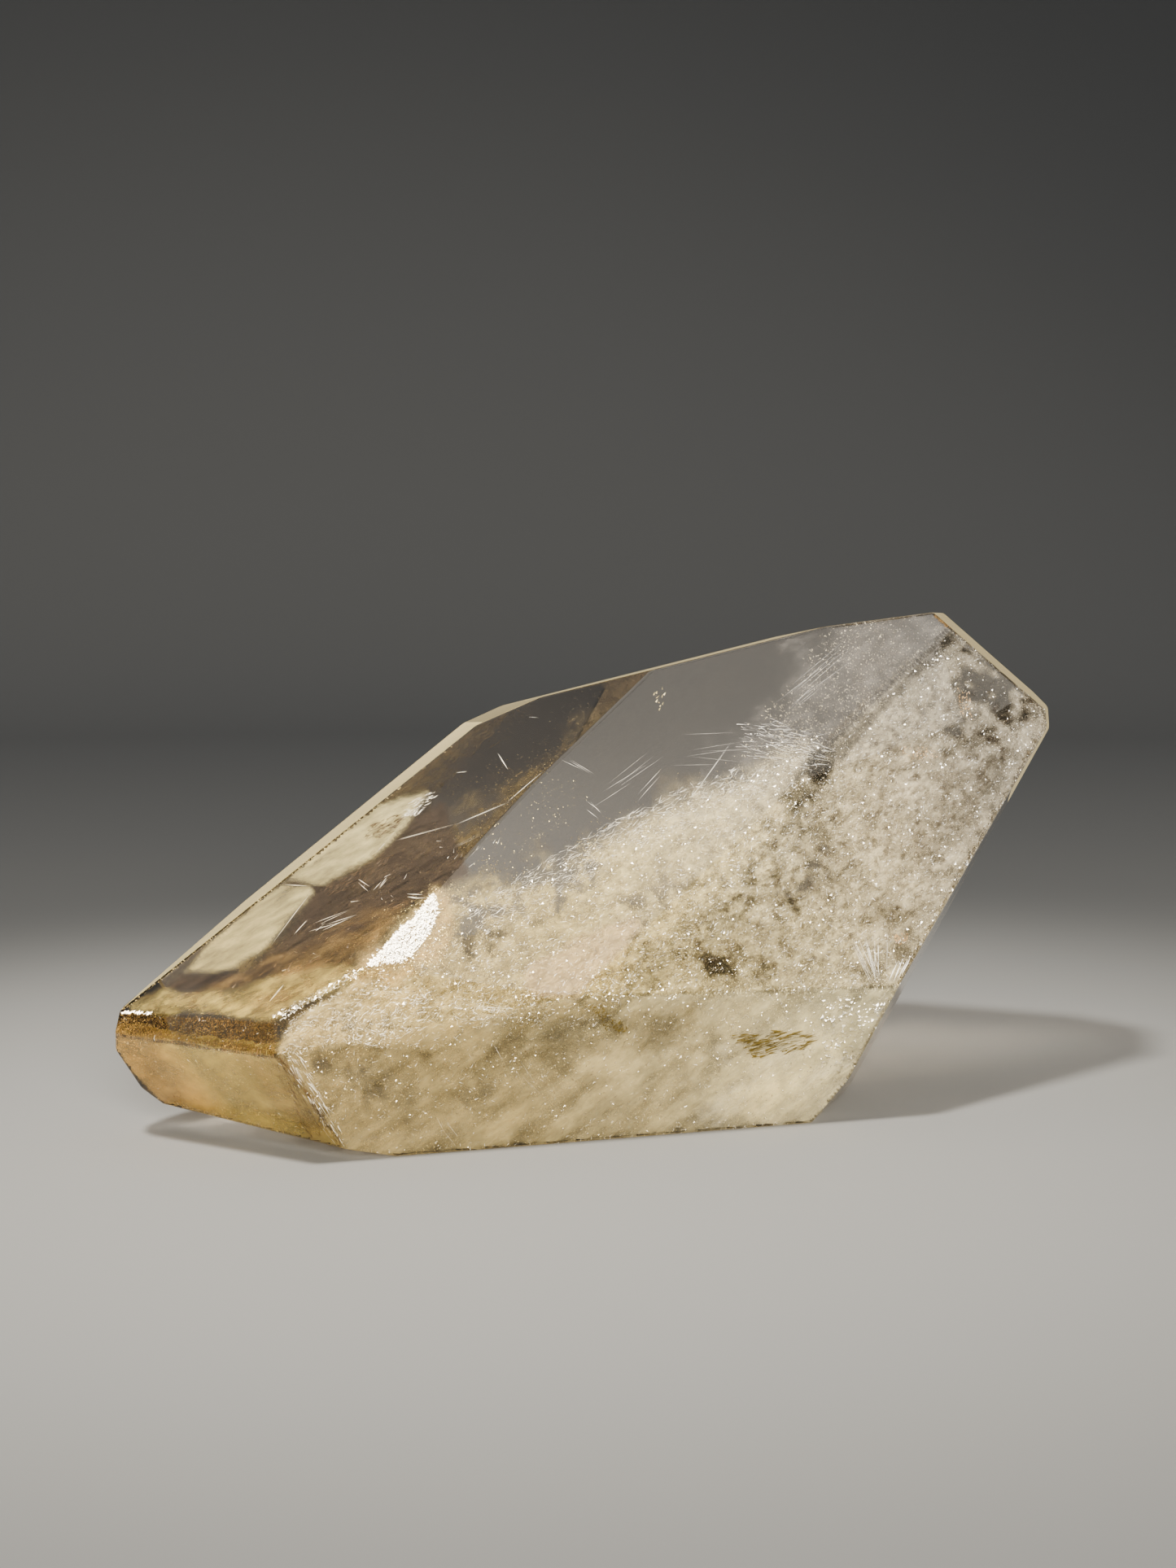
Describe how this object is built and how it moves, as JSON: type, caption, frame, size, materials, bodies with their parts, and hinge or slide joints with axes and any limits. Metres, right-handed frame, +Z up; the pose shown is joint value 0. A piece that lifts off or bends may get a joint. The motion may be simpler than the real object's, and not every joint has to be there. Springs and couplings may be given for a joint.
{
  "type": "smoky quartz freeform",
  "caption": "Polished smoky quartz freeform: one slanting stone with broad flat facets, a clear brown side, a cloudy side and a flat underside to rest on.",
  "frame": {"origin": "middle of the footprint box, on the plane that the stone rests on", "axes": "+Z up, +X along the stone from its low tip to its high end, -Y towards the viewer"},
  "size_m": [0.0972, 0.0674, 0.0511],
  "materials": {
    "smoky_quartz": "polished, clear smoky brown with cream clouds inside"
  },
  "bodies": {
    "root": {"quartz_freeform": "smoky_quartz"}
  },
  "joints": []
}
